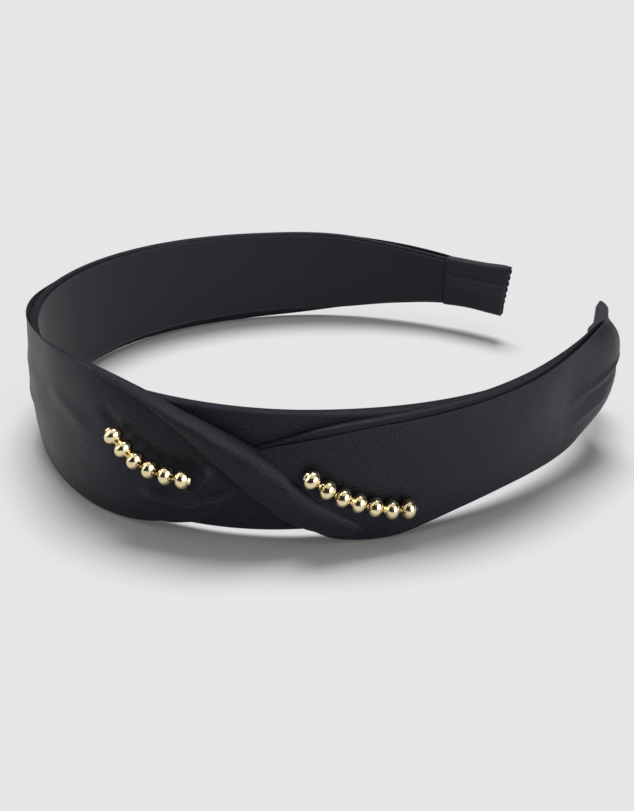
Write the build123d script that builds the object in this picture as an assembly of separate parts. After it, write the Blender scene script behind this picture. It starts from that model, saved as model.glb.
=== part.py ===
from build123d import *
import os
from math import cos, radians, sin

# Headband: a springy open hoop covered in satin, with a flat satin tube laid over the outside and
# twisted once on one leg, and two short chains of gold-coated beads sewn on beside the twist.
# Millimetres. The band lies on its edge as on a table: +Z up, the crown towards -Y, the open tips
# towards +Y, the twisted leg on the +X side.
#
# A place on the band has an arc, an offset and a height. The arc is the length along the inner
# face from the middle of the crown, positive on the twisted leg. The offset is the distance
# outwards from the inner face. The height is measured from the band's mid-plane. At the end
# everything moves, so that the origin is the middle of the footprint, on the table.

# Plan of the inner face: one arc round the crown and a flatter one along each leg.
CROWN_RADIUS = 63.2
CROWN_ANGLE = 77.8               # turned by each leg before its flatter arc starts
SIDE_RADIUS = 85.7
HALF_LENGTH = 190.0              # from the middle of the crown to a tip: 380 from tip to tip
CROWN_ARC = CROWN_RADIUS * radians(CROWN_ANGLE)

# Layers, as (inner offset, outer offset). The glued ones keep a hair's gap from each other.
LINING = (0.0, 0.3)
COVER = (0.35, 2.5)
CORE = (0.7, 1.7)
FOAM = (1.75, 2.15)
WRAP_BACK = 2.6
WRAP_FRONT = 5.1                 # of both panels beside the twist
SLEEVE = (-0.5, 2.95)
COVER_SKIN = 0.3
SLEEVE_SKIN = 0.4

# The wrap's front lies snug round the crown and swells before the twisted leg's tip, as
# (arc, offset). The folded edge that crosses the twist stands proud of both panels.
WRAP_SWELL = [(-170, 3.2), (0, 3.3), (40, WRAP_FRONT), (145, WRAP_FRONT), (170, 7.4)]
ROLL_FRONT = 7.0

# Widths, measured in from the covered band's edges.
CORE_INSET = 0.9
FOAM_INSET = 0.7
LINING_INSET = 1.2
TURNED_EDGE_WIDTH = 5.0          # the cover's edges, folded in under the lining

# How far short of the tips each inner layer stops.
CORE_END_GAP = 1.0
FOAM_END_GAP = 22.0              # the sponge stops before the sleeves
LINING_END_GAP = 2.0

# Edge heights of the covered band, as (arc, height) from the crown to the tip. An arc of 0 stands
# for clear past the crown and one of HALF_LENGTH for clear past the tip. The twisted leg rises
# towards its tip.
PLAIN_TOP = [(0, 14.5), (60, 14.3), (105, 13.7), (135, 12.5), (154, 9.8), (170, 7.7), (190, 7.7)]
PLAIN_BOTTOM = [(0, -14.5), (60, -14.2), (105, -13.6), (135, -12.6), (154, -9.8), (170, -7.7),
                (190, -7.7)]
TWIST_TOP = [(0, 14.5), (50, 14.7), (83, 13.6), (115, 12.6), (140, 12.3), (170, 12.5), (190, 12.5)]
TWIST_BOTTOM = [(0, -14.5), (50, -14.2), (80, -13.8), (110, -12.2), (135, -9.0), (155, -4.8),
                (170, -2.9), (190, -2.9)]
TWIST_TIP_HEIGHT = 4.8           # middle of the twisted leg's tip, above the mid-plane
TABLE = -16.0                    # the table's height below the mid-plane

# Ribbon sleeves over the ends.
SLEEVE_LENGTH = 21.5
SLEEVE_OVERHANG = 1.5            # the ribbon's picot edge runs past the covered end
SLEEVE_HALF_WIDTH = 8.5
SLEEVE_FLARE = 0.9               # widening over the last few millimetres
FLARE_LENGTH = 6.0
SLEEVE_START = HALF_LENGTH + SLEEVE_OVERHANG - SLEEVE_LENGTH
WRAP_END = SLEEVE_START - 0.3
WRAP_CUT_END = 174.0             # where the wrap's outlines close, past its end

# Bead chains. The centres are (arc, height), in order along each chain from the crown side.
BEAD_RADIUS = 1.9
BEAD_HALF_LENGTH = 1.5           # cut flat at both holes
BEAD_OFFSET = WRAP_FRONT + BEAD_RADIUS + 0.1
CROWN_ROW = [(47.2, 6.2), (49.3, 3.8), (51.7, 1.8), (54.7, 0.55), (58.0, -0.1), (61.3, -0.3)]
TIP_ROW = [(84.6, 1.3), (87.5, -1.2), (90.4, -3.2), (93.4, -4.8), (96.6, -6.2), (99.9, -7.3),
           (103.3, -7.8)]
CROWN_ROW_STITCHED_NECKS = [3, 4, 5]
TIP_ROW_STITCHED_NECKS = [1, 2, 4, 6]
CORD_RADIUS = 0.45
HOLE_MOUTH = 0.03                # the cord bends this far outside each hole
THREAD_RADIUS = 0.14
THREAD_CLEARANCE = 0.04

REACH = 120.0                    # longer than any leg is wide or tall, for cutting tools
PAST_THE_END = 12.0              # how far the cutting tools run past the crown and the tips
PAST_THE_FACE = 1.0              # how far they run out of a face that they open


def plan_point(arc, offset):
    """Point in plan at an arc length and an offset outwards from the inner face."""
    length = abs(arc)
    bend = radians(CROWN_ANGLE)
    if length <= CROWN_ARC:
        turn, radius, centre = length / CROWN_RADIUS, CROWN_RADIUS, (0, CROWN_RADIUS)
    else:
        turn, radius = bend + (length - CROWN_ARC) / SIDE_RADIUS, SIDE_RADIUS
        shift = CROWN_RADIUS - SIDE_RADIUS
        centre = (shift * sin(bend), CROWN_RADIUS - shift * cos(bend))
    x = centre[0] + (radius + offset) * sin(turn)
    y = centre[1] - (radius + offset) * cos(turn)
    return (x if arc >= 0 else -x), y


def place(arc, offset, height):
    """Point in space on the band."""
    return Vector(*plan_point(arc, offset), height)


def outward(arc):
    """Unit vector away from the inner face."""
    return (place(arc, 1, 0) - place(arc, 0, 0)).normalized()


def offset_at(profile, arc):
    """Offset at an arc length, straight between the profile's (arc, offset) pairs."""
    for (start, low), (end, high) in zip(profile, profile[1:]):
        if arc <= end:
            return low + (high - low) * (max(arc, start) - start) / (end - start)
    return profile[-1][1]


def strip(start, end, inner, outer):
    """Tall wall that follows the band in plan between two arc lengths.

    Its inner and outer faces are each one offset, or (arc, offset) pairs where the wall swells.
    """
    profiles = [side if isinstance(side, list) else [(start, side), (end, side)] for side in (inner, outer)]
    turns = [-CROWN_ARC, CROWN_ARC] + [arc for profile in profiles for arc, _ in profile]
    stops = sorted({start, end, *(arc for arc in turns if start < arc < end)})

    def curve(profile):
        def spot(arc):
            return plan_point(arc, offset_at(profile, arc))
        return [ThreePointArc(spot(a), spot((a + b) / 2), spot(b)) for a, b in zip(stops, stops[1:])]

    ends = [Line(*(plan_point(s, offset_at(profile, s)) for profile in profiles)) for s in (start, end)]
    sides = curve(profiles[0]) + curve(profiles[1])
    plan = make_face([edge for line in sides + ends for edge in line.edges()])
    return Pos(0, 0, -REACH / 2) * extrude(plan, REACH, dir=(0, 0, 1))


def side_y(arc):
    """Where an arc length falls along Y, seen from the side."""
    if arc == 0:
        return plan_point(0, PAST_THE_END)[1]
    if arc >= HALF_LENGTH:
        return plan_point(HALF_LENGTH, 0)[1] + PAST_THE_END
    return plan_point(arc, COVER[1])[1]


def side_view(runs, leg):
    """Cutting tool for one leg: a closed outline of (arc, height) runs, pushed across the leg.

    A run of two points is straight and a longer one is a smooth curve.
    """
    edges = []
    for run in runs:
        spots = [(side_y(arc), height) for arc, height in run]
        line = Line(*spots) if len(spots) == 2 else Spline(*spots)
        edges += line.edges()
    return extrude(Plane.YZ * make_face(edges), REACH, dir=(leg, 0, 0))


def band_outline(inset):
    """Cutting tool with the covered band's outline, drawn in by an inset at both edges."""
    legs = []
    for top, bottom, leg in ((TWIST_TOP, TWIST_BOTTOM, 1), (PLAIN_TOP, PLAIN_BOTTOM, -1)):
        high = [(arc, height - inset) for arc, height in top]
        low = [(arc, height + inset) for arc, height in bottom]
        legs.append(side_view([high, [high[0], low[0]], low, [high[-1], low[-1]]], leg))
    return legs[0] + legs[1]


def layer(offsets, inset, end_gap=0.0):
    """One layer of the band: its offsets, and how far its edges and its ends are drawn in."""
    end = HALF_LENGTH - end_gap
    return strip(-end, end, *offsets) & band_outline(inset)


def make_core_hoop():
    """Moulded springy hoop, one even thickness."""
    return layer(CORE, CORE_INSET, CORE_END_GAP)


def make_foam_layer():
    """Thin sponge glued on the hoop's outer face."""
    return layer(FOAM, FOAM_INSET, FOAM_END_GAP)


def make_base_cover():
    """Satin round the outer face, with both edges turned in under the lining."""
    filling = (COVER[0] + COVER_SKIN, COVER[1] - COVER_SKIN)
    opening = (COVER[0] - PAST_THE_FACE, COVER[0] + COVER_SKIN)
    hollow = layer(filling, COVER_SKIN, -PAST_THE_FACE)
    return layer(COVER, 0) - hollow - layer(opening, TURNED_EDGE_WIDTH, -PAST_THE_FACE)


def make_inner_lining():
    """Lining strip on the inner face, over the cover's turned-in edges."""
    return layer(LINING, LINING_INSET, LINING_END_GAP)


def make_tip_sleeve(leg):
    """Folded ribbon over one end: a flat open sleeve that flares a little at its picot edge."""
    start, end = SLEEVE_START, SLEEVE_START + SLEEVE_LENGTH
    straight_to = plan_point(end - FLARE_LENGTH, 0)[1]
    clear_past = side_y(HALF_LENGTH)
    widening = SLEEVE_FLARE * (clear_past - straight_to) / FLARE_LENGTH
    middle = TWIST_TIP_HEIGHT if leg == 1 else 0

    def block(offsets, half_width, overlap):
        wall = strip(*sorted((leg * (start - overlap), leg * (end + overlap))), *offsets)
        edge = [(0, half_width), (straight_to, half_width), (clear_past, half_width + widening)]
        outline = Polyline(*edge, *[(y, -z) for y, z in reversed(edge)], close=True)
        cutter = extrude(Plane.YZ * make_face(outline), REACH, dir=(leg, 0, 0))
        return wall & (Pos(0, 0, middle) * cutter)

    bore = (SLEEVE[0] + SLEEVE_SKIN, SLEEVE[1] - SLEEVE_SKIN)
    bore_half_width = SLEEVE_HALF_WIDTH - SLEEVE_SKIN
    return block(SLEEVE, SLEEVE_HALF_WIDTH, 0) - block(bore, bore_half_width, PAST_THE_FACE)


def make_twist_wrap():
    """Flat satin tube over the outside: two panels and the rolled edge that crosses between them."""
    wall = strip(-WRAP_END, WRAP_END, WRAP_BACK, WRAP_SWELL)
    plain_leg = side_view([
        [(0, 17.5), (60, 16.2), (105, 14.7), (135, 13.4), (154, 10.8), (WRAP_CUT_END, 7.9)],
        [(WRAP_CUT_END, 7.9), (WRAP_CUT_END, -7.9)],
        [(WRAP_CUT_END, -7.9), (156, -9.6), (140, -12.4), (120, -15.4), (108, TABLE)],
        [(108, TABLE), (30, TABLE)],
        [(30, TABLE), (18, -15.4), (0, -14.8)],
        [(0, -14.8), (0, 17.5)],
    ], -1)
    crown_panel = side_view([
        [(0, 17.5), (20, 17.7), (38, 19.2), (46, 18.7), (52, 17.4)],
        [(52, 17.4), (66, 11.2), (77, 3.0)],
        [(77, 3.0), (77, -2.5)],
        [(77, -2.5), (70, -5.4), (65, -10.2), (56, -14.2), (48, TABLE)],
        [(48, TABLE), (32, TABLE)],
        [(32, TABLE), (18, -15.4), (0, -14.8)],
        [(0, -14.8), (0, 17.5)],
    ], 1)
    tip_panel = side_view([
        [(74, 6.6), (84, 9.9), (98, 12.6), (118, 14.0), (140, 15.5), (156, 16.4), (WRAP_CUT_END, 15.4)],
        [(WRAP_CUT_END, 15.4), (WRAP_CUT_END, -4.5)],
        [(WRAP_CUT_END, -4.5), (162, -8.0), (148, -10.2), (132, -10.6), (116, -12.6), (103, TABLE)],
        [(103, TABLE), (92, TABLE)],
        [(92, TABLE), (84, -12.8), (74, -5.0)],
        [(74, -5.0), (74, 6.6)],
    ], 1)
    rolled_edge = strip(40, 100, WRAP_BACK, ROLL_FRONT) & side_view([
        [(47, 18.3), (58, 15.6), (70, 10.2), (78, 4.0), (86, -5.8), (95, -12.0)],
        [(95, -12.0), (87, -13.4)],
        [(87, -13.4), (78, -8.9), (70, -1.2), (63, 6.2), (56, 11.9), (47, 16.4)],
        [(47, 16.4), (47, 18.3)],
    ], 1)
    return (wall & plain_leg) + (wall & crown_panel) + (wall & tip_panel) + rolled_edge


def bead_centres(row):
    return [place(arc, BEAD_OFFSET, height) for arc, height in row]


def bead_axes(row):
    """Direction of each bead's hole, between those of the two cord spans beside it."""
    centres = bead_centres(row)
    last = len(centres) - 1
    return [(centres[min(i + 1, last)] - centres[max(i - 1, 0)]).normalized() for i in range(last + 1)]


def rod(start, end, radius):
    """Round rod between two points."""
    run = end - start
    from_its_end = (Align.CENTER, Align.CENTER, Align.MIN)
    return Plane(origin=start, z_dir=run) * Cylinder(radius, run.length, align=from_its_end)


def make_bead_cord(row):
    """The chain's cord: straight through each bead, bending at the necks between them."""
    reach = BEAD_HALF_LENGTH + HOLE_MOUTH
    corners = []
    for centre, axis in zip(bead_centres(row), bead_axes(row)):
        corners += [centre - axis * reach, centre + axis * reach]
    cord = rod(corners[0], corners[1], CORD_RADIUS)
    for start, end in zip(corners[1:], corners[2:]):
        cord += rod(start, end, CORD_RADIUS)
        cord += Pos(*start) * Sphere(CORD_RADIUS)
    return cord


def make_bead(row, index):
    """One round bead moulded on the cord, cut flat at both ends of its hole."""
    clear_past = 4 * BEAD_RADIUS
    ball = Sphere(BEAD_RADIUS) & Box(clear_past, clear_past, 2 * BEAD_HALF_LENGTH)
    body = ball - Cylinder(CORD_RADIUS, clear_past)
    return Plane(origin=bead_centres(row)[index], z_dir=bead_axes(row)[index]) * body


def make_stitches(row, necks):
    """Thread loops, each round one neck of the chain and down to the satin."""
    loops = []
    centres = bead_centres(row)
    half_width = CORD_RADIUS + THREAD_RADIUS + THREAD_CLEARANCE
    for neck in necks:
        start, end = centres[neck - 1], centres[neck]
        middle = (start + end) / 2
        arc = (row[neck - 1][0] + row[neck][0]) / 2
        along = (end - start).normalized()
        up = (outward(arc) - along * outward(arc).dot(along)).normalized()
        drop = BEAD_OFFSET - WRAP_FRONT - THREAD_RADIUS - THREAD_CLEARANCE - half_width
        loop = Plane(origin=middle, x_dir=along.cross(up), z_dir=along)
        path = Pos(0, -drop / 2) * SlotOverall(drop + 2 * half_width, 2 * half_width, rotation=90)
        wire = loop * path.face().outer_wire()
        section = Plane(origin=wire @ 0, z_dir=wire % 0) * Circle(THREAD_RADIUS)
        loops.append(sweep(section, path=wire))
    return loops


def make_all():
    nodes = {
        "core_hoop": make_core_hoop(),
        "foam_layer": make_foam_layer(),
        "base_cover": make_base_cover(),
        "inner_lining": make_inner_lining(),
        "tip_sleeve_twist_side": make_tip_sleeve(1),
        "tip_sleeve_plain_side": make_tip_sleeve(-1),
        "twist_wrap": make_twist_wrap(),
    }
    chains = (
        ("crown_row", CROWN_ROW, CROWN_ROW_STITCHED_NECKS),
        ("tip_row", TIP_ROW, TIP_ROW_STITCHED_NECKS),
    )
    for name, row, necks in chains:
        nodes[f"bead_cord_{name}"] = make_bead_cord(row)
        for index in range(len(row)):
            nodes[f"{name}_bead_{index + 1}"] = make_bead(row, index)
        nodes[f"stitches_{name}"] = Compound(children=make_stitches(row, necks))
    return nodes


def main():
    os.makedirs("parts", exist_ok=True)
    nodes = make_all()
    boxes = [shape.bounding_box() for shape in nodes.values()]
    middle_x = (min(b.min.X for b in boxes) + max(b.max.X for b in boxes)) / 2
    middle_y = (min(b.min.Y for b in boxes) + max(b.max.Y for b in boxes)) / 2
    to_origin = Pos(-middle_x, -middle_y, -TABLE)
    print(f"moved by {-middle_x:.3f} {-middle_y:.3f} {-TABLE:.3f}")
    for name, shape in nodes.items():
        export_step(to_origin * shape, f"parts/{name}.step")


main()
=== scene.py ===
import math

import bpy
import numpy as np
from mathutils import Matrix, Vector


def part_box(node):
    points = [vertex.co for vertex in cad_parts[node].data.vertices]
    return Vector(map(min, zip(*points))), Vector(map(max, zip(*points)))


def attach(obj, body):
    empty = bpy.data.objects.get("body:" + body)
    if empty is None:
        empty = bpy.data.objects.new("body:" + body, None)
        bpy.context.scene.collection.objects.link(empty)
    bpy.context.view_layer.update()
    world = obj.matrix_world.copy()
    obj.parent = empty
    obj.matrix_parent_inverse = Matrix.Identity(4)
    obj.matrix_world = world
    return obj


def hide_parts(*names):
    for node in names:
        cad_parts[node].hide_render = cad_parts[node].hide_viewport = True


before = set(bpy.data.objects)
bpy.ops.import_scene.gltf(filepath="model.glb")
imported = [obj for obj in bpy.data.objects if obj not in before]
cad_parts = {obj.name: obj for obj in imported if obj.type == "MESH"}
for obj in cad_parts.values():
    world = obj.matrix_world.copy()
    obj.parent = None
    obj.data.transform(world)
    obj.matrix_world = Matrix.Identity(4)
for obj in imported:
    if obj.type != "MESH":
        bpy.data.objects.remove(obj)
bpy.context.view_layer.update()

SCENE = bpy.context.scene
BODY = "root"
MM = 0.001

# ----- The band's own measures, in millimetres -----
# A place on the band has an arc, the length along the inner face from the middle of the crown
# (positive on the twisted leg), an offset outwards from the inner face, and a height above the
# band's mid-plane.
CROWN_RADIUS = 63.2
CROWN_BEND = math.radians(77.8)
SIDE_RADIUS = 85.7
CROWN_ARC = CROWN_RADIUS * CROWN_BEND
HALF_LENGTH = 190.0
COVER_OUTSIDE = 2.5
WRAP_BACK = 2.6
SLEEVE_START = 170.0
SLEEVE_END = 191.5
MID_HEIGHT = 16.0
TWIST_TIP_HEIGHT = 4.8       # the twisted leg rises towards its tip

cover_low, cover_high = (Vector(corner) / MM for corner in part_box("base_cover"))
ORIGIN_X = (cover_low.x + cover_high.x) / 2
ORIGIN_Y = cover_low.y + COVER_OUTSIDE

# Bead centres, (arc, height).
CROWN_ROW = [(47.2, 6.2), (49.3, 3.8), (51.7, 1.8), (54.7, 0.55), (58.0, -0.1), (61.3, -0.3)]
TIP_ROW = [(84.6, 1.3), (87.5, -1.2), (90.4, -3.2), (93.4, -4.8), (96.6, -6.2), (99.9, -7.3),
           (103.3, -7.8)]
BEAD_OFFSET = 7.1


def on_band(arc, offset, height):
    """Places on the band as points of the row frame, in metres."""
    arc, offset, height = np.broadcast_arrays(*(np.asarray(v, float) for v in (arc, offset, height)))
    length = np.abs(arc)
    crown = length <= CROWN_ARC
    turn = np.where(crown, length / CROWN_RADIUS, CROWN_BEND + (length - CROWN_ARC) / SIDE_RADIUS)
    radius = np.where(crown, CROWN_RADIUS, SIDE_RADIUS)
    shift = CROWN_RADIUS - radius
    x = shift * math.sin(CROWN_BEND) + (radius + offset) * np.sin(turn)
    y = CROWN_RADIUS - shift * math.cos(CROWN_BEND) - (radius + offset) * np.cos(turn)
    x = np.where(arc < 0, -x, x)
    return np.stack([ORIGIN_X + x, ORIGIN_Y + y, MID_HEIGHT + height], axis=-1) * MM


def smooth(points):
    """Smooth curve through (x, y) points, as a function of x."""
    xs, ys = np.array(points, float).T
    slopes = np.gradient(ys, xs)

    def curve(x):
        x = np.clip(x, xs[0], xs[-1])
        i = np.clip(np.searchsorted(xs, x) - 1, 0, len(xs) - 2)
        gap = xs[i + 1] - xs[i]
        t = (x - xs[i]) / gap
        rise = t * t * (3 - 2 * t)
        leave = t * (1 - t) ** 2 * gap * slopes[i]
        arrive = t * t * (1 - t) * gap * slopes[i + 1]
        return ys[i] + (ys[i + 1] - ys[i]) * rise + leave - arrive

    return curve


def ramp(x, start, end):
    """0 before start, 1 after end and a smooth rise between."""
    t = np.clip((x - start) / (end - start), 0, 1)
    return t * t * (3 - 2 * t)


def bump(x, centre, reach):
    """Smooth hump of height 1, gone at reach from its centre."""
    return np.clip(1 - ((x - centre) / reach) ** 2, 0, 1) ** 2


def fold(arc, height, start, end, width, rise):
    """A soft ridge (or, with a negative rise, a valley) along a straight line, fading at both ends."""
    start, end = np.array(start, float), np.array(end, float)
    run = end - start
    length = math.hypot(*run)
    along = ((arc - start[0]) * run[0] + (height - start[1]) * run[1]) / length ** 2
    aside = ((arc - start[0]) * run[1] - (height - start[1]) * run[0]) / length
    ends = ramp(along, -0.25, 0.3) * (1 - ramp(along, 0.7, 1.25))
    return rise * np.exp(-(aside / width) ** 2) * ends


# ----- Modelling helpers -----

def select_only(*objects):
    """Selects these objects and nothing else, the last one active."""
    bpy.ops.object.select_all(action="DESELECT")
    for o in objects:
        o.select_set(True)
    bpy.context.view_layer.objects.active = objects[-1]


def cut_cloth(name, length, width, along, across):
    """A flat piece of cloth cut to size, with that many faces along and across, and its UV map in mm."""
    bpy.ops.object.select_all(action="DESELECT")
    bpy.ops.mesh.primitive_grid_add(x_subdivisions=along, y_subdivisions=across, size=1)
    cloth = bpy.context.object
    cloth.name = cloth.data.name = name
    for corner in cloth.data.uv_layers.active.data:
        corner.uv = (corner.uv.x * length, corner.uv.y * width)
    return cloth


def lay_cloth(cloth, place):
    """Lays flat cloth where place(u, v) says; u runs along it and v across it, both from 0 to 1."""
    flat = np.array([v.co[:2] for v in cloth.data.vertices]) + 0.5
    points = place(flat[:, 0], flat[:, 1])
    cloth.data.vertices.foreach_set("co", points.astype(np.float32).ravel())
    cloth.data.update()


def weld(cloth):
    """Closes seams and pinched ends, and turns every face outwards."""
    SEAM_GAP = 0.02 * MM
    select_only(cloth)
    bpy.ops.object.mode_set(mode="EDIT")
    bpy.ops.mesh.select_all(action="SELECT")
    bpy.ops.mesh.remove_doubles(threshold=SEAM_GAP)
    bpy.ops.mesh.dissolve_degenerate(threshold=SEAM_GAP / 10)
    bpy.ops.mesh.normals_make_consistent(inside=False)
    bpy.ops.object.mode_set(mode="OBJECT")
    bpy.ops.object.shade_smooth()


def thicken(cloth, thickness, side):
    """Gives cloth its thickness: side 1 adds it outwards, -1 inwards."""
    select_only(cloth)
    wall = cloth.modifiers.new("cloth thickness", "SOLIDIFY")
    wall.thickness = thickness * MM
    wall.offset = side
    bpy.ops.object.modifier_apply(modifier=wall.name)
    bpy.ops.object.shade_smooth()


def join(name, *parts):
    """Makes several meshes one object of that name."""
    select_only(*parts)
    bpy.context.view_layer.objects.active = parts[0]
    bpy.ops.object.join()
    parts[0].name = parts[0].data.name = name
    return parts[0]


def finish_piece(piece, material, node):
    """Gives a piece its material and its body, and hides the CAD node that it stands for."""
    piece.data.materials.clear()
    piece.data.materials.append(material)
    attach(piece, BODY)
    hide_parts(node)


# ----- Materials -----

def srgb(code):
    """A #rrggbb colour as linear values."""
    values = [int(code[i:i + 2], 16) / 255 for i in (1, 3, 5)]
    return [v / 12.92 if v <= 0.04045 else ((v + 0.055) / 1.055) ** 2.4 for v in values] + [1.0]


def add_node(tree, kind, inputs=None, **settings):
    """Adds a node. settings are its own values, and inputs are socket values, or sockets to link from."""
    made = tree.nodes.new(kind)
    for name, value in settings.items():
        setattr(made, name, value)
    for name, value in (inputs or {}).items():
        if isinstance(value, bpy.types.NodeSocket):
            tree.links.new(value, made.inputs[name])
        else:
            made.inputs[name].default_value = value
    return made


def new_material(name):
    """A material with an empty tree, its surface shader and its tree."""
    material = bpy.data.materials.new(name)
    material.use_nodes = True
    tree = material.node_tree
    tree.nodes.clear()
    shader = add_node(tree, "ShaderNodeBsdfPrincipled")
    add_node(tree, "ShaderNodeOutputMaterial", {"Surface": shader.outputs["BSDF"]})
    return material, tree, shader


WAVE_LENGTH = math.pi / 10       # of a Wave texture at scale 1


def woven_satin():
    """Black polyester satin, woven: long floats give a broad soft sheen over a fine diagonal grain."""
    material, tree, shader = new_material("woven_polyester_satin")
    FLOAT_PITCH = 0.5            # mm; real floats are 0.12 mm apart, drawn as coarse as they need to show
    FLOAT_SHARE = 0.22           # of the relief that the floats make, beside the uneven yarn
    BIAS = math.radians(27)      # the floats lie across the length of the band at this angle
    GRAIN = 0.32                 # uneven yarn, mm, drawn coarser for the same reason
    SLUB = 9.0                   # slow change of sheen where the cloth lies uneven, mm
    uv = add_node(tree, "ShaderNodeUVMap")
    turned = add_node(tree, "ShaderNodeMapping", {
        "Vector": uv.outputs["UV"], "Rotation": (0, 0, BIAS)})
    floats = add_node(tree, "ShaderNodeTexWave", {
        "Vector": turned.outputs["Vector"], "Scale": WAVE_LENGTH / FLOAT_PITCH, "Distortion": 3.0,
        "Detail": 2.0, "Detail Scale": 3.0}, bands_direction="X")
    grain = add_node(tree, "ShaderNodeTexNoise", {
        "Vector": uv.outputs["UV"], "Scale": 1 / GRAIN, "Detail": 1.0, "Roughness": 0.7})
    slub = add_node(tree, "ShaderNodeTexNoise", {
        "Vector": uv.outputs["UV"], "Scale": 1 / SLUB, "Detail": 3.0, "Roughness": 0.6})
    relief = add_node(tree, "ShaderNodeMath", {
        0: floats.outputs["Fac"], 1: FLOAT_SHARE, 2: grain.outputs["Fac"]}, operation="MULTIPLY_ADD")
    weave = add_node(tree, "ShaderNodeBump", {
        "Height": relief.outputs["Value"], "Strength": 1.0, "Distance": 0.00012})
    colour = add_node(tree, "ShaderNodeValToRGB", {"Fac": grain.outputs["Fac"]})
    colour.color_ramp.elements[0].position = 0.38
    colour.color_ramp.elements[0].color = srgb("#020205")
    colour.color_ramp.elements[1].position = 0.64
    colour.color_ramp.elements[1].color = srgb("#202128")
    gloss = add_node(tree, "ShaderNodeMapRange", {
        "Value": slub.outputs["Fac"], "From Min": 0.3, "From Max": 0.7, "To Min": 0.37, "To Max": 0.47})
    tree.links.new(colour.outputs["Color"], shader.inputs["Base Color"])
    tree.links.new(gloss.outputs["Result"], shader.inputs["Roughness"])
    tree.links.new(weave.outputs["Normal"], shader.inputs["Normal"])
    shader.inputs["Specular IOR Level"].default_value = 0.22
    shader.inputs["Specular Tint"].default_value = srgb("#e8edff")
    shader.inputs["Sheen Weight"].default_value = 0.04
    shader.inputs["Sheen Roughness"].default_value = 0.4
    return material


def brushed_lining():
    """Black brushed knit: matt, a little lighter than the satin, with a fine dry grain."""
    material, tree, shader = new_material("brushed_knit_lining")
    PILE = 0.3                   # tufts of the brushed face, mm
    uv = add_node(tree, "ShaderNodeUVMap")
    pile = add_node(tree, "ShaderNodeTexNoise", {
        "Vector": uv.outputs["UV"], "Scale": 1 / PILE, "Detail": 3.0, "Roughness": 0.65})
    fuzz = add_node(tree, "ShaderNodeBump", {
        "Height": pile.outputs["Fac"], "Strength": 0.5, "Distance": 0.00004})
    colour = add_node(tree, "ShaderNodeValToRGB", {"Fac": pile.outputs["Fac"]})
    colour.color_ramp.elements[0].position = 0.3
    colour.color_ramp.elements[0].color = srgb("#141419")
    colour.color_ramp.elements[1].position = 0.75
    colour.color_ramp.elements[1].color = srgb("#1f2028")
    tree.links.new(colour.outputs["Color"], shader.inputs["Base Color"])
    tree.links.new(fuzz.outputs["Normal"], shader.inputs["Normal"])
    shader.inputs["Roughness"].default_value = 0.9
    shader.inputs["Specular IOR Level"].default_value = 0.2
    shader.inputs["Sheen Weight"].default_value = 0.1
    shader.inputs["Sheen Roughness"].default_value = 0.6
    return material


def grosgrain_ribbon():
    """Blue-black woven grosgrain: its ribs are in the mesh, and its threads are a fine grain across them."""
    material, tree, shader = new_material("woven_grosgrain_ribbon")
    THREAD = 0.3                 # mm, about twice the real thread, drawn as coarse as it needs to show
    uv = add_node(tree, "ShaderNodeUVMap")
    thread = add_node(tree, "ShaderNodeTexWave", {
        "Vector": uv.outputs["UV"], "Scale": WAVE_LENGTH / THREAD, "Distortion": 0.6}, bands_direction="X")
    weave = add_node(tree, "ShaderNodeBump", {
        "Height": thread.outputs["Fac"], "Strength": 0.4, "Distance": 0.00003})
    colour = add_node(tree, "ShaderNodeValToRGB", {"Fac": thread.outputs["Fac"]})
    colour.color_ramp.elements[0].color = srgb("#090c13")
    colour.color_ramp.elements[1].color = srgb("#161c27")
    tree.links.new(colour.outputs["Color"], shader.inputs["Base Color"])
    tree.links.new(weave.outputs["Normal"], shader.inputs["Normal"])
    shader.inputs["Roughness"].default_value = 0.6
    shader.inputs["Specular IOR Level"].default_value = 0.3
    shader.inputs["Sheen Weight"].default_value = 0.1
    return material


def metallised_gold():
    """Pale gold coated on moulded ABS in a vacuum: crisp reflections with a faint orange peel."""
    material, tree, shader = new_material("vacuum_metallised_abs_gold")
    PEEL = 0.7                   # size of the lacquer's orange peel, mm
    place = add_node(tree, "ShaderNodeTexCoord")
    peel = add_node(tree, "ShaderNodeTexNoise", {
        "Vector": place.outputs["Object"], "Scale": 1 / (PEEL * MM), "Detail": 1.0})
    skin = add_node(tree, "ShaderNodeBump", {
        "Height": peel.outputs["Fac"], "Strength": 0.12, "Distance": 0.00003})
    haze = add_node(tree, "ShaderNodeMapRange", {
        "Value": peel.outputs["Fac"], "To Min": 0.08, "To Max": 0.2})
    tree.links.new(skin.outputs["Normal"], shader.inputs["Normal"])
    tree.links.new(haze.outputs["Result"], shader.inputs["Roughness"])
    shader.inputs["Base Color"].default_value = srgb("#eedcb0")
    shader.inputs["Metallic"].default_value = 1.0
    return material


def plain_material(name, colour, roughness, grain):
    """A hidden or tiny piece's material: one colour with a fine grain of the given size in mm."""
    material, tree, shader = new_material(name)
    place = add_node(tree, "ShaderNodeTexCoord")
    noise = add_node(tree, "ShaderNodeTexNoise", {
        "Vector": place.outputs["Object"], "Scale": 1 / (grain * MM)})
    relief = add_node(tree, "ShaderNodeBump", {
        "Height": noise.outputs["Fac"], "Strength": 0.3, "Distance": 0.00003})
    tree.links.new(relief.outputs["Normal"], shader.inputs["Normal"])
    shader.inputs["Base Color"].default_value = srgb(colour)
    shader.inputs["Roughness"].default_value = roughness
    return material


# ----- The twisted wrap: a flat satin tube, seen as two panels and a rolled edge between them -----

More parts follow.
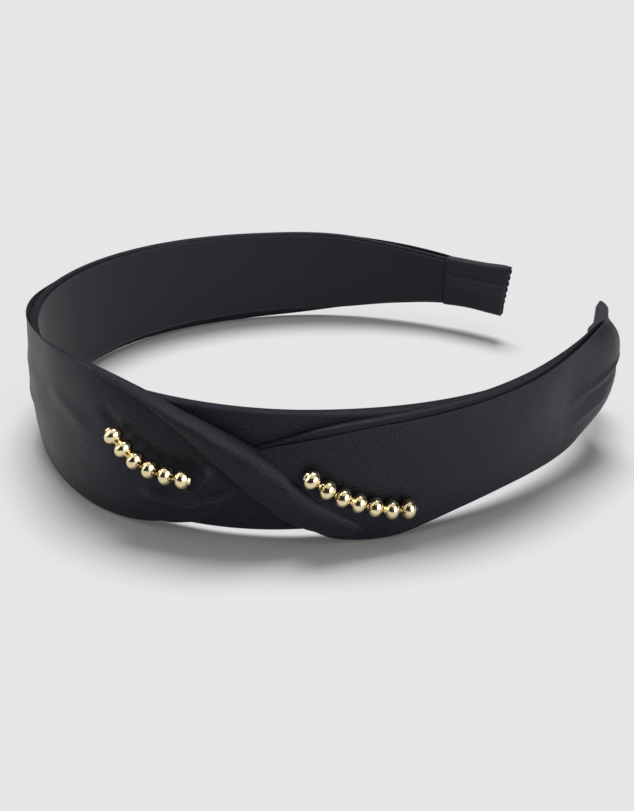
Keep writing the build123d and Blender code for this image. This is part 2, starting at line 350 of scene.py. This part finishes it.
# Heights of each panel's lower and upper edge, (arc, height).
crown_low = smooth([
    (-176, -7.2), (-156, -9.6), (-140, -12.4), (-120, -15.2), (-106, -15.9), (-60, -15.9), (-28, -15.9),
    (0, -15.0), (18, -15.2), (32, -15.8), (40, -15.9), (48, -15.4), (54, -14.2), (59, -12.6), (64, -10.6),
    (67, -8.6), (69, -6.4), (72.4, -3.7), (79, -2.0)])
crown_high = smooth([
    (-176, 7.2), (-154, 10.2), (-135, 12.0), (-124, 12.6), (-97, 13.0), (-60, 13.4), (-44, 13.5),
    (-27, 14.2), (-16, 15.4), (0, 17.0), (20, 18.3), (31, 19.0), (37, 18.8), (42, 17.8), (47, 16.4),
    (51, 15.1), (57, 13.2), (62, 11.0), (68, 8.0), (74, 4.4), (79, 1.5)])
tip_low = smooth([
    (70, -1.0), (75, -4.4), (80, -8.6), (85, -12.4), (89, -14.6), (93, -15.4), (99, -15.7), (103, -15.3),
    (108, -14.0), (116, -12.1), (126, -10.9), (135, -10.4), (147, -10.3), (154, -9.9), (162, -8.3),
    (170, -5.4), (176, -3.6)])
tip_high = smooth([
    (70, 4.0), (76, 6.7), (81.5, 8.0), (89, 9.5), (97, 10.7), (105, 11.3), (115, 12.0), (124, 12.7),
    (135, 13.8), (142, 14.9), (150, 16.1), (156, 16.9), (161, 17.3), (166, 17.2), (171, 16.2),
    (176, 13.8)])
lower_layer_high = smooth([
    (70, 3.9), (76, 7.0), (79, 8.1), (85, 10.2), (91, 11.4), (97, 12.1), (105, 12.8), (115, 13.4),
    (124, 14.0), (135, 15.0), (145, 16.1), (153, 16.8), (160, 17.2), (166, 17.0), (171, 15.8),
    (176, 13.6)])
# Offset of the wrap's front at its edges: snug round the crown, lifted by the twist, closing on the tip.
crown_swell = smooth([
    (-176, 2.9), (-60, 2.85), (-20, 2.85), (0, 2.9), (12, 3.2), (30, 4.2), (42, 4.6), (50, 4.35),
    (58, 3.9), (66, 3.5), (79, 3.3)])
tip_swell = smooth([(70, 4.4), (80, 4.65), (142, 4.55), (160, 4.1), (168, 3.8), (176, 3.3)])
lower_layer_swell = smooth([(70, 3.7), (80, 4.0), (142, 3.95), (160, 3.2), (176, 2.9)])


def flat_tube(name, start, end, low, high, back, front, edge, fine, coarse):
    """A sewn tube lying flat: front, top edge, back and bottom edge, pinched shut at both ends.

    low and high are its edges and edge is their roundness. fine is (from, to, step) where the stations
    are close together, and coarse is the step elsewhere.
    """
    COLUMNS = 132                              # faces once round the tube
    FRONT_ENDS, TOP_ENDS, BACK_ENDS = 0.66, 0.74, 0.92     # parts of the way round
    PINCH = 3                                  # length of the closing end, mm
    stations = [start]
    while stations[-1] < end:
        close = fine[0] <= stations[-1] <= fine[1]
        stations.append(min(end, stations[-1] + (fine[2] if close else coarse)))
    stations = np.array(stations)
    width = float(np.mean(high(stations) - low(stations)))
    cloth = cut_cloth(name, end - start, 2 * width, len(stations) - 1, COLUMNS)

    def place(u, v):
        arc = np.interp(u, np.linspace(0, 1, len(stations)), stations)
        bottom, top = low(arc) + edge, high(arc) - edge
        on_front, on_top = v <= FRONT_ENDS, (v > FRONT_ENDS) & (v <= TOP_ENDS)
        on_back = (v > TOP_ENDS) & (v <= BACK_ENDS)
        forth = v / FRONT_ENDS
        round_top = math.pi * (v - FRONT_ENDS) / (TOP_ENDS - FRONT_ENDS)
        returning = (v - TOP_ENDS) / (BACK_ENDS - TOP_ENDS)
        round_low = math.pi * (v - BACK_ENDS) / (1 - BACK_ENDS)
        height = np.select(
            [on_front, on_top, on_back],
            [bottom + (top - bottom) * forth, top + edge * np.sin(round_top),
             top + (bottom - top) * returning],
            bottom - edge * np.sin(round_low))
        within = np.clip(height, bottom, top)
        face, rear = front(arc, within), back(arc, within)
        pinch = ramp(arc, start, start + PINCH) * (1 - ramp(arc, end - PINCH, end))
        face = rear + (face - rear) * pinch
        middle, half = (face + rear) / 2, (face - rear) / 2
        offset = np.select(
            [on_front, on_top, on_back],
            [face, middle + half * np.cos(round_top), rear], middle - half * np.cos(round_low))
        return on_band(arc, offset, height)

    lay_cloth(cloth, place)
    map_in_mm(cloth, stations, width / FRONT_ENDS)
    weld(cloth)
    return cloth


def map_in_mm(cloth, stations, width):
    """Makes the UV map follow the stations, so that the weave keeps its size where they crowd."""
    layer = cloth.data.uv_layers.active.data
    uv = np.empty(2 * len(layer), np.float32)
    layer.foreach_get("uv", uv)
    uv = uv.reshape(-1, 2) / uv.reshape(-1, 2).max(axis=0)
    uv[:, 0] = np.interp(uv[:, 0], np.linspace(0, 1, len(stations)), stations)
    uv[:, 1] *= width
    layer.foreach_set("uv", uv.ravel())


def sewn_down(arc, height, row, depth, reach):
    """How far a bead chain pulls the cloth in: a trough along the chain."""
    pulled = np.zeros_like(arc)
    for a, b in zip(row, row[1:]):
        run = np.subtract(b, a)
        along = np.clip(((arc - a[0]) * run[0] + (height - a[1]) * run[1]) / np.dot(run, run), 0, 1)
        away = np.hypot(arc - a[0] - along * run[0], height - a[1] - along * run[1])
        pulled = np.maximum(pulled, np.exp(-(away / reach) ** 2))
    return -depth * pulled


def unevenness(arc, height):
    """Slow small waves of cloth that is only held at its edges, in mm."""
    return (0.10 * np.sin(arc / 9.1 + height / 6.3) + 0.07 * np.sin(arc / 5.3 - height / 4.1 + 1.3)
            + 0.04 * np.sin(arc / 2.9 + height / 3.7 + 0.4))


def crowned(height, low, high, rise):
    """Lift of a panel towards its middle, 0 at its edges."""
    across = np.clip((height - low) / (high - low), 0, 1) * 2 - 1
    return rise * (1 - across ** 4)


# Folds of the two panels: (arc, height) of each end, half width, and rise (a valley where it is negative).
CROWN_FOLDS = (
    ((51.5, -6.6), (60, -7.0), 1.5, 1.0),      # puff under the last beads
    ((61, -7.6), (71, -3.4), 1.2, 1.1),        # its run up to the roll
    ((58, -11.0), (68.5, -6.6), 0.75, -1.3),   # crease below that run
    ((52.5, -9.6), (58, -9.8), 0.8, -0.6),     # shallow start of the crease
    ((66, 1.6), (73, -1.6), 1.1, -0.7),        # hollow along the roll
    ((43.5, 11.0), (46.5, 7.6), 1.3, -0.5),    # hollow above the first bead
    ((26, 9.0), (38, 4.5), 2.2, 0.3),          # soft ridge from the roll's start to the beads
    ((-8, 5.5), (12, 7.0), 1.6, 0.18),         # slack cloth before the twist
    ((-6, -2.5), (12, -1.0), 1.8, 0.4),
)
TIP_FOLDS = (
    ((151, 3.6), (169, 8.2), 0.8, 0.55),       # crease that gathers the cloth into the sleeve
    ((152, 1.2), (169, 5.9), 1.4, -0.55),      # valley under it
    ((150, -3.0), (163, 0.5), 0.9, 0.3),       # second crease
)


def crown_front(arc, height):
    """Offset of the crown panel's front: crowned, pulled in by the beads and puckered beside the twist."""
    TAUT_RISE, SLACK_RISE = 0.12, 0.7          # crowning where the cloth is tight, and more where it is slack
    BEAD_DEPTH, BEAD_REACH = 0.75, 2.4
    CRESCENT_RISE, CRESCENT_RADIUS, CRESCENT_WIDTH = 1.3, 3.6, 0.7
    PRESSED = 0.65                             # the upper half lies closer over the middle of the crown
    TAUT_WAVES, SLACK_WAVES = 0.15, 0.75       # likewise, its share of the slow waves
    free = ramp(arc, -10, 35)
    rise = TAUT_RISE + SLACK_RISE * ramp(arc, -22, 4)
    offset = crown_swell(arc) + crowned(height, crown_low(arc), crown_high(arc), rise)
    offset += unevenness(arc, height) * (TAUT_WAVES + SLACK_WAVES * free)
    offset += sewn_down(arc, height, CROWN_ROW, BEAD_DEPTH, BEAD_REACH)
    last_arc, last_height = CROWN_ROW[-1]
    away = np.hypot(arc - last_arc, height - last_height)
    beside = ramp(arc - last_arc - 0.3 * (height - last_height), -1.0, 1.5) * ramp(height, 3.0, -0.5)
    offset += CRESCENT_RISE * np.exp(-((away - CRESCENT_RADIUS) / CRESCENT_WIDTH) ** 2) * beside
    for start, end, width, fold_rise in CROWN_FOLDS:
        offset += fold(arc, height, start, end, width, fold_rise)
    offset -= PRESSED * ramp(height, 1, 12) * ramp(arc, -30, -5) * (1 - ramp(arc, 12, 34))
    return offset


def tip_front(arc, height):
    """Offset of the tip panel's front: crowned, dimpled along its beads and puffed out before the tip."""
    PANEL_RISE, PUFF_RISE = 0.45, 3.7
    BEAD_DEPTH, BEAD_REACH = 0.35, 2.0
    low, high = tip_low(arc), tip_high(arc)
    offset = tip_swell(arc) + crowned(height, low, high, PANEL_RISE) + unevenness(arc + 40, height) * 0.8
    offset += sewn_down(arc, height, TIP_ROW, BEAD_DEPTH, BEAD_REACH)
    puff = ramp(arc, 146, 167) * (1 - ramp(arc, 169, 176))
    offset += puff * crowned(height, low, high, PUFF_RISE)
    for start, end, width, fold_rise in TIP_FOLDS:
        offset += fold(arc, height, start, end, width, fold_rise)
    return offset


def twist_wrap(satin):
    """The sewn satin tube with its parts as they lie: two panels, two layers under them and the roll."""
    TUCK_OFFSET = 3.5                          # of the front of the crown panel's tucked-under end
    CLOTH_LAYERS = 0.45                        # how far the tip panel's back lies under its front

    def behind(arc, height):
        return np.full_like(arc, WRAP_BACK)

    crown_panel = flat_tube(
        "crown_panel", -172, 79, crown_low, crown_high, behind, crown_front,
        edge=0.6, fine=(14, 79, 0.55), coarse=2.2)
    tip_panel = flat_tube(
        "tip_panel", 70, 174.5, tip_low, tip_high,
        lambda arc, height: tip_front(arc, height) - CLOTH_LAYERS, tip_front,
        edge=0.3, fine=(70, 112, 0.55), coarse=0.9)
    lower_layer = flat_tube(
        "tip_panel_lower_layer", 71, 173, lambda arc: tip_low(arc) + 0.8, lower_layer_high, behind,
        lambda arc, height: lower_layer_swell(arc),
        edge=0.25, fine=(70, 112, 0.8), coarse=1.4)
    tuck_low = smooth([
        (48, -13.6), (54, -14.5), (59, -13.6), (62.5, -12.4), (66.4, -9.7), (68.7, -6.9), (72.4, -4.0),
        (78, -1.6)])
    tuck_high = smooth([(48, -6.5), (60, -6.0), (66.4, -4.0), (72.4, -0.5), (78, 1.0)])
    tuck = flat_tube(
        "crown_panel_tuck", 49, 78, tuck_low, tuck_high, behind,
        lambda arc, height: np.full_like(arc, TUCK_OFFSET),
        edge=0.3, fine=(49, 78, 0.6), coarse=1.0)
    wrap = join("satin_twist_wrap", crown_panel, tip_panel, lower_layer, tuck, rolled_edge())
    finish_piece(wrap, satin, "twist_wrap")


def rolled_edge():
    """The tube's top edge, folded over the crown panel and down across the twist to its bottom edge."""
    END_OFFSET = 3.7                           # the roll sinks to this at both its ends
    # The roll's two sides, (arc, height), point for point.
    near = [
        (30, 17.0), (36, 17.2), (42, 16.6), (47.5, 15.7), (52.5, 14.2), (56.3, 12.0), (60.2, 9.4),
        (63.7, 6.4), (67.3, 2.8), (70.6, -0.6), (73.4, -3.4), (76.2, -6.1), (79.6, -9.2), (84, -11.9),
        (90.5, -14.2), (98, -15.3)]
    far = [
        (31, 18.2), (37, 18.6), (43, 18.1), (49.2, 16.9), (54.5, 15.4), (59.5, 13.4), (64, 11.6),
        (69, 9.3), (72.6, 7.3), (75.6, 5.5), (78.6, 3.2), (81.8, 0.1), (85.6, -3.8), (89.5, -7.0),
        (94.5, -10.3), (101, -13.4)]
    steps = np.linspace(0, 1, len(near))
    near_arc, near_height = (smooth(list(zip(steps, values))) for values in zip(*near))
    far_arc, far_height = (smooth(list(zip(steps, values))) for values in zip(*far))
    # Offset of the roll's crest along its length.
    crest = smooth([
        (0, 3.9), (0.1, 4.4), (0.2, 5.0), (0.3, 6.0), (0.42, 6.9), (0.6, 7.1), (0.75, 6.8), (0.88, 6.0),
        (1, 4.5)])
    # Section of the roll, as (part of the way from the near to the far side, part of its height).
    section = [
        (0.0, 0.66), (0.03, 0.76), (0.15, 0.87), (0.35, 0.96), (0.55, 1.0), (0.75, 0.93), (0.90, 0.74),
        (0.98, 0.48), (1.0, 0.26), (0.95, 0.10), (0.78, 0.06), (0.45, 0.12), (0.20, 0.46), (0.05, 0.57),
        (0.0, 0.66)]
    turns = np.linspace(0, 1, len(section))
    section_across, section_up = (smooth(list(zip(turns, values))) for values in zip(*section))
    cloth = cut_cloth("rolled_edge", 95, 18, 190, 84)

    def place(u, v):
        across, up = section_across(v), section_up(v)
        arc = near_arc(u) + (far_arc(u) - near_arc(u)) * across
        height = near_height(u) + (far_height(u) - near_height(u)) * across
        uneven = 1 + 0.02 * np.sin(u * 40 + across * 3)
        offset = WRAP_BACK + (crest(u) - WRAP_BACK) * up * uneven
        pinch = ramp(u, 0, 0.05) * (1 - ramp(u, 0.95, 1))
        offset = END_OFFSET + (offset - END_OFFSET) * pinch
        return on_band(arc, offset, height)

    lay_cloth(cloth, place)
    weld(cloth)
    return cloth


# ----- The base band -----

# Half width of the band on the plain leg, and the heights of its edges on the twisted leg, by length.
plain_edge = smooth([(0, 14.5), (60, 14.3), (105, 13.65), (135, 12.5), (154, 9.8), (170, 7.7), (192, 7.7)])
twist_top = smooth([(0, 14.5), (50, 14.7), (83, 13.6), (115, 12.6), (140, 12.3), (170, 12.5), (192, 12.5)])
twist_bottom = smooth([
    (0, -14.5), (50, -14.2), (80, -13.8), (110, -12.2), (135, -9.0), (155, -4.8), (170, -2.9),
    (192, -2.9)])


def band_top(arc):
    return np.where(arc < 0, plain_edge(-arc), twist_top(arc))


def band_bottom(arc):
    return np.where(arc < 0, -plain_edge(-arc), twist_bottom(arc))


def base_cover(satin):
    """Satin over the sponge and the hoop, rounded over both edges and turned in on the inner face."""
    TURNED_IN, INNER = 5.0, 0.35               # width of the turned-in hem, and its offset
    ROUND_OUT, ROUND_IN = 0.9, 0.55            # radii of the two edges
    TIP_THINNING = 0.6                         # the sponge is pressed thinner under the sleeves
    CLOTH = 0.25
    cloth = cut_cloth("satin_base_cover", 2 * HALF_LENGTH, 44, 360, 96)

    def place(u, v):
        arc = (2 * u - 1) * HALF_LENGTH
        top, bottom = band_top(arc), band_bottom(arc)
        mirror = v > 0.5
        w = np.where(mirror, 1 - v, v) * 2     # 0 at a turned-in edge, 1 at the middle of the outer face
        reach = (top - bottom) / 2
        depth = COVER_OUTSIDE - INNER - TIP_THINNING * ramp(np.abs(arc), 150, 188)
        quarter = math.pi / 2
        # Parts of w where the hem, the inner round, the side and the outer round end.
        hem_ends, inner_ends, side_ends, outer_ends = 0.16, 0.26, 0.32, 0.48
        t1, t2 = w / hem_ends, (w - hem_ends) / (inner_ends - hem_ends)
        t3, t4 = (w - inner_ends) / (side_ends - inner_ends), (w - side_ends) / (outer_ends - side_ends)
        t5 = (w - outer_ends) / (1 - outer_ends)
        below_edge = np.select(
            [w <= hem_ends, w <= inner_ends, w <= side_ends, w <= outer_ends],
            [TURNED_IN + (ROUND_IN - TURNED_IN) * t1, ROUND_IN * (1 - np.sin(t2 * quarter)), 0 * t3,
             ROUND_OUT * (1 - np.cos(t4 * quarter))],
            ROUND_OUT + (reach - ROUND_OUT) * t5)
        offset = INNER + np.select(
            [w <= hem_ends, w <= inner_ends, w <= side_ends, w <= outer_ends],
            [0 * t1, ROUND_IN * (1 - np.cos(t2 * quarter)),
             ROUND_IN + (depth - ROUND_OUT - ROUND_IN) * t3,
             depth - ROUND_OUT + ROUND_OUT * np.sin(t4 * quarter)],
            depth + 0 * t5)
        height = np.where(mirror, top - below_edge, bottom + below_edge)
        return on_band(arc, offset, height)

    lay_cloth(cloth, place)
    weld(cloth)
    thicken(cloth, CLOTH, -1)
    finish_piece(cloth, satin, "base_cover")


def inner_lining(lining):
    """Lining strip with its edges pressed flat on the turned-in satin."""
    INSET, END, THICK = 0.8, HALF_LENGTH - 2, 0.16
    OFFSET, PRESSED_EDGE = 0.04, 0.2           # of its middle, and how much further its edges are pressed in
    cloth = cut_cloth("lining_strip", 2 * END, 26.6, 300, 40)

    def place(u, v):
        arc = (2 * u - 1) * END
        top, bottom = band_top(arc) - INSET, band_bottom(arc) + INSET
        height = bottom + (top - bottom) * v
        pressed = bump(v, 0, 0.03) + bump(v, 1, 0.03)
        offset = OFFSET + PRESSED_EDGE * pressed + 0.02 * np.sin(arc / 7 + height / 3)
        return on_band(arc, offset, height)

    lay_cloth(cloth, place)
    weld(cloth)
    thicken(cloth, THICK, -1)
    finish_piece(cloth, lining, "inner_lining")


def tip_sleeve(ribbon, leg, node):
    """Ribbon wound once round a covered end, lapped on the inner face and pressed flat at its picots."""
    LAP_UNDER, LAP_OVER = -1.2, 2.4            # heights where the ribbon starts and ends on the inner face
    LAP_RISE, LAP_EDGE = 1.15, 0.3             # height of the lap's ridge, and of its free edge
    LAP_SLOPE, LAP_WIDTH = 3.5, 1.5            # lengths of the ridge's two sides
    RIB_PITCH, RIB_RISE = 0.62, 0.035
    PICOT_PITCH, PICOT_RISE, PICOT_LENGTH = 1.95, 0.4, 1.0
    HALF_WIDTH, INNER, OUTER, CORNER = 7.95, -0.2, 2.95, 1.3
    FLARE, WAIST = 0.35, 0.25                  # wider above at the tip, narrower half way
    RIBBON = 0.3
    # Slope of the end across the band, and how much shorter the ribbon is there.
    SLOPE, SHORTER = (0.04, 0) if leg == 1 else (0.12, 0.65)
    middle = TWIST_TIP_HEIGHT if leg == 1 else 0
    length = SLEEVE_END - SLEEVE_START
    # Offsets of the two faces along the sleeve: it holds the wrap's end on the twisted leg.
    start_outer = 3.9 if leg == 1 else 3.0
    inner_face = smooth([(0, -0.2), (17, -0.2), (20, -0.1), (length, 0.45)])
    outer_face = smooth([(0, start_outer), (8, 3.1), (16, 2.7), (20, 2.35), (length, 1.25)])
    turn = math.pi / 2 * CORNER
    side = OUTER - INNER - 2 * CORNER
    runs = [HALF_WIDTH - CORNER - LAP_UNDER, turn, side, turn, 2 * (HALF_WIDTH - CORNER), turn, side, turn,
            HALF_WIDTH - CORNER + LAP_OVER]
    ends = np.cumsum([0] + runs)
    around = float(ends[-1])
    cloth = cut_cloth(node.replace("tip_sleeve", "grosgrain_sleeve"), length, around, 44, 420)

    # Straight runs, as (start, way, outward normal), and corners, as (centre, first angle), by their order.
    high, low, near, far = HALF_WIDTH - CORNER, CORNER - HALF_WIDTH, INNER + CORNER, OUTER - CORNER
    straights = {0: ((INNER, LAP_UNDER), (0, 1), (-1, 0)), 2: ((near, HALF_WIDTH), (1, 0), (0, 1)),
                 4: ((OUTER, high), (0, -1), (1, 0)), 6: ((far, -HALF_WIDTH), (-1, 0), (0, -1)),
                 8: ((INNER, low), (0, 1), (-1, 0))}
    corners = {1: ((near, high), math.pi), 3: ((far, high), math.pi / 2), 5: ((far, low), 0),
               7: ((near, low), -math.pi / 2)}

    def section(t):
        """(offset, height) and outward normal (offset, height) at lengths t round the band."""
        spots, normals = np.zeros((len(t), 2)), np.zeros((len(t), 2))
        which = np.clip(np.searchsorted(ends, t, side="right") - 1, 0, len(runs) - 1)
        for i in range(len(runs)):
            here = which == i
            run = (t[here] - ends[i])[:, None]
            if i in corners:
                centre, first = corners[i]
                angle = first - run / CORNER
                normals[here] = np.hstack([np.cos(angle), np.sin(angle)])
                spots[here] = np.array(centre) + CORNER * normals[here]
            else:
                start, way, out = (np.array(v, float) for v in straights[i])
                spots[here] = start + run * way
                normals[here] = out
        return spots, normals

    def place(u, v):
        t = v * around
        spots, normals = section(t)
        along = length * u
        inner, outer = inner_face(along), outer_face(along)
        offset = inner + (spots[:, 0] - INNER) / (OUTER - INNER) * (outer - inner)
        height = spots[:, 1]
        spread = FLARE * ramp(along, 12, length) * (height > 0) - WAIST * bump(along, 9, 9)
        height = height * (1 + spread / HALF_WIDTH)
        lift = RIB_RISE * np.cos(2 * math.pi * t / RIB_PITCH)
        crest = around - LAP_WIDTH
        fall = (LAP_RISE - LAP_EDGE) * ramp(t, crest, around)
        lift += (LAP_RISE * ramp(t, crest - LAP_SLOPE, crest) - fall) * ramp(along, 0, 2)
        at_end = ramp(along, length - PICOT_LENGTH, length)
        picot = PICOT_RISE * (np.abs(np.sin(math.pi * t / PICOT_PITCH)) - 1) * at_end
        slant = (SLOPE * height - SHORTER) * u
        arc = leg * (SLEEVE_START + along + slant + picot)
        return on_band(arc, offset + normals[:, 0] * lift, middle + height + normals[:, 1] * lift)

    lay_cloth(cloth, place)
    weld(cloth)
    thicken(cloth, RIBBON, 0)
    finish_piece(cloth, ribbon, node)


# ----- The bead chains -----

def bead_shape():
    """One bead in millimetres, its hole along X: a ball a little shorter than it is wide, with two necks."""
    HALF_ALONG, HALF_ACROSS = 1.66, 2.08
    NECK_RADIUS, NECK_END = 0.72, 1.88
    BLEND = 0.3                                # width of the hollow where a neck meets the ball
    bpy.ops.object.select_all(action="DESELECT")
    bpy.ops.mesh.primitive_uv_sphere_add(segments=48, ring_count=40, radius=1)
    bead = bpy.context.object
    bpy.ops.object.mode_set(mode="EDIT")
    bpy.ops.mesh.select_all(action="SELECT")
    bpy.ops.transform.rotate(value=math.pi / 2, orient_axis="Y", center_override=(0, 0, 0))
    bpy.ops.transform.resize(value=(HALF_ALONG, HALF_ACROSS, HALF_ACROSS))
    bpy.ops.object.mode_set(mode="OBJECT")
    for vertex in bead.data.vertices:
        around = math.hypot(vertex.co.y, vertex.co.z)
        drawn_out = min(1.0, max(0.0, (NECK_RADIUS + BLEND - around) / BLEND)) ** 2
        along = abs(vertex.co.x)
        vertex.co.x = math.copysign(along + (NECK_END - along) * drawn_out, vertex.co.x)
    bpy.ops.object.shade_smooth()
    return bead


def chain_points(row):
    """Places of a row's beads."""
    return [Vector(p) for p in on_band(*zip(*[(arc, BEAD_OFFSET, height) for arc, height in row]))]


def bead_chain(name, row, gold, pattern):
    """Places a copy of the bead at each point, and threads the coated cord through them."""
    CORD_RADIUS = 0.68
    points = chain_points(row)
    for index, point in enumerate(points):
        before, after = points[max(index - 1, 0)], points[min(index + 1, len(points) - 1)]
        mesh = pattern.data.copy()
        turn = Vector((1, 0, 0)).rotation_difference((after - before).normalized()).to_matrix().to_4x4()
        mesh.transform(turn)
        for vertex in mesh.vertices:
            vertex.co = vertex.co * MM + point
        bead = bpy.data.objects.new(f"gold_{name}_bead_{index + 1}", mesh)
        SCENE.collection.objects.link(bead)
        finish_piece(bead, gold, f"{name}_bead_{index + 1}")

    line = bpy.data.curves.new(f"gold_cord_{name}", "CURVE")
    line.dimensions = "3D"
    line.bevel_depth = CORD_RADIUS * MM
    line.bevel_resolution = 6
    line.use_fill_caps = True
    spline = line.splines.new("POLY")
    spline.points.add(len(points) - 1)
    for spot, point in zip(spline.points, points):
        spot.co = (*point, 1)
    cord = bpy.data.objects.new(line.name, line)
    SCENE.collection.objects.link(cord)
    select_only(cord)
    bpy.ops.object.convert(target="MESH")
    bpy.ops.object.shade_smooth()
    finish_piece(bpy.context.object, gold, f"bead_cord_{name}")


# ----- Camera, floor and light -----

def camera():
    """Looks across the twist from a little above, with the lining of the far leg in view."""
    AZIMUTH, ELEVATION, ROLL = math.radians(71.55), math.radians(26.34), math.radians(0.61)
    DISTANCE, LENS = 205.7, 39.22
    AIM_RIGHT, AIM_BACK = 34.98, 59.15         # of the point looked at, from the middle of the crown
    target = Vector((ORIGIN_X + AIM_RIGHT, ORIGIN_Y + AIM_BACK, MID_HEIGHT)) * MM
    back = Vector((math.sin(AZIMUTH) * math.cos(ELEVATION), -math.cos(AZIMUTH) * math.cos(ELEVATION),
                   math.sin(ELEVATION)))
    lens = bpy.data.cameras.new("camera")
    lens.lens = LENS
    lens.sensor_width = 36
    lens.clip_start = 0.01
    made = bpy.data.objects.new("camera", lens)
    SCENE.collection.objects.link(made)
    made.location = target + back * DISTANCE * MM
    turn = back.to_track_quat("Z", "Y").to_matrix().to_4x4()
    made.rotation_euler = (turn @ Matrix.Rotation(ROLL, 4, "Z")).to_euler()
    SCENE.camera = made


def studio(pieces):
    """Pale floor, a bright ceiling over dark walls, and broad far lights that light the floor evenly."""
    bpy.ops.object.select_all(action="DESELECT")
    bpy.ops.mesh.primitive_plane_add(size=30, location=(0, 0, 0))
    floor = bpy.context.object
    floor.name = "floor"
    material, tree, shader = new_material("painted_studio_floor")
    shader.inputs["Base Color"].default_value = srgb("#cbcbcb")
    shader.inputs["Roughness"].default_value = 1.0
    shader.inputs["Specular IOR Level"].default_value = 0.0
    shader.inputs["Emission Color"].default_value = (1, 1, 1, 1)
    shader.inputs["Emission Strength"].default_value = 0.085
    floor.data.materials.append(material)

    world = bpy.data.worlds.new("studio_air")
    SCENE.world = world
    world.use_nodes = True
    air = world.node_tree
    direction = add_node(air, "ShaderNodeTexCoord")
    axes = add_node(air, "ShaderNodeSeparateXYZ", {"Vector": direction.outputs["Generated"]})
    ceiling = add_node(air, "ShaderNodeMapRange", {
        "Value": axes.outputs["Z"], "From Min": 0.78, "From Max": 0.84, "To Min": 0.03, "To Max": 0.7})
    air.nodes["Background"].inputs["Color"].default_value = (1, 1, 1, 1)
    air.links.new(ceiling.outputs["Result"], air.nodes["Background"].inputs["Strength"])

    # The band and the floor are lit apart, as flags part the light in a studio.
    on_the_band = bpy.data.collections.new("on_the_band")
    on_the_floor = bpy.data.collections.new("on_the_floor")
    on_the_floor.objects.link(floor)
    for piece in pieces:
        on_the_band.objects.link(piece)
    # Name, direction round and up in degrees, width in degrees, strength and what the light falls on.
    lamps = (
        ("overhead", 163, 70, 27, 3.1, on_the_floor),
        ("top", 163, 70, 24, 1.55, on_the_band),
        ("left_side", -120, 28, 60, 1.2, on_the_band),
        ("right_side", 30, 23, 60, 3.0, on_the_band),
    )
    for name, azimuth, elevation, width, strength, lit in lamps:
        lamp = bpy.data.lights.new(name, "SUN")
        lamp.angle = math.radians(width)
        lamp.energy = strength
        light = bpy.data.objects.new(name, lamp)
        SCENE.collection.objects.link(light)
        light.light_linking.receiver_collection = lit
        around, up = math.radians(azimuth), math.radians(elevation)
        towards = Vector((math.cos(around) * math.cos(up), math.sin(around) * math.cos(up), math.sin(up)))
        light.location = towards
        light.rotation_euler = towards.to_track_quat("Z", "Y").to_euler()
    SCENE.view_settings.view_transform = "Standard"


# ----- Making everything -----

camera()
satin = woven_satin()
gold = metallised_gold()
ribbon = grosgrain_ribbon()
twist_wrap(satin)
base_cover(satin)
inner_lining(brushed_lining())
tip_sleeve(ribbon, 1, "tip_sleeve_twist_side")
tip_sleeve(ribbon, -1, "tip_sleeve_plain_side")
pattern = bead_shape()
bead_chain("crown_row", CROWN_ROW, gold, pattern)
bead_chain("tip_row", TIP_ROW, gold, pattern)
bpy.data.objects.remove(pattern)
cad_pieces = set(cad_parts.values())
studio([o for o in SCENE.objects if o.type == "MESH" and o not in cad_pieces])

# CAD pieces that stay: a smooth moulded hoop, matt open-celled sponge and dull thread with a fine ply.
thread = plain_material("polyester_sewing_thread", "#060607", 0.6, 0.08)
kept_pieces = {
    "core_hoop": plain_material("moulded_polypropylene", "#151515", 0.45, 0.4),
    "foam_layer": plain_material("polyurethane_sponge", "#1c1c1c", 0.95, 0.5),
    "stitches_crown_row": thread,
    "stitches_tip_row": thread,
}
for node, material in kept_pieces.items():
    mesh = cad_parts[node].data
    mesh.materials.clear()
    mesh.materials.append(material)
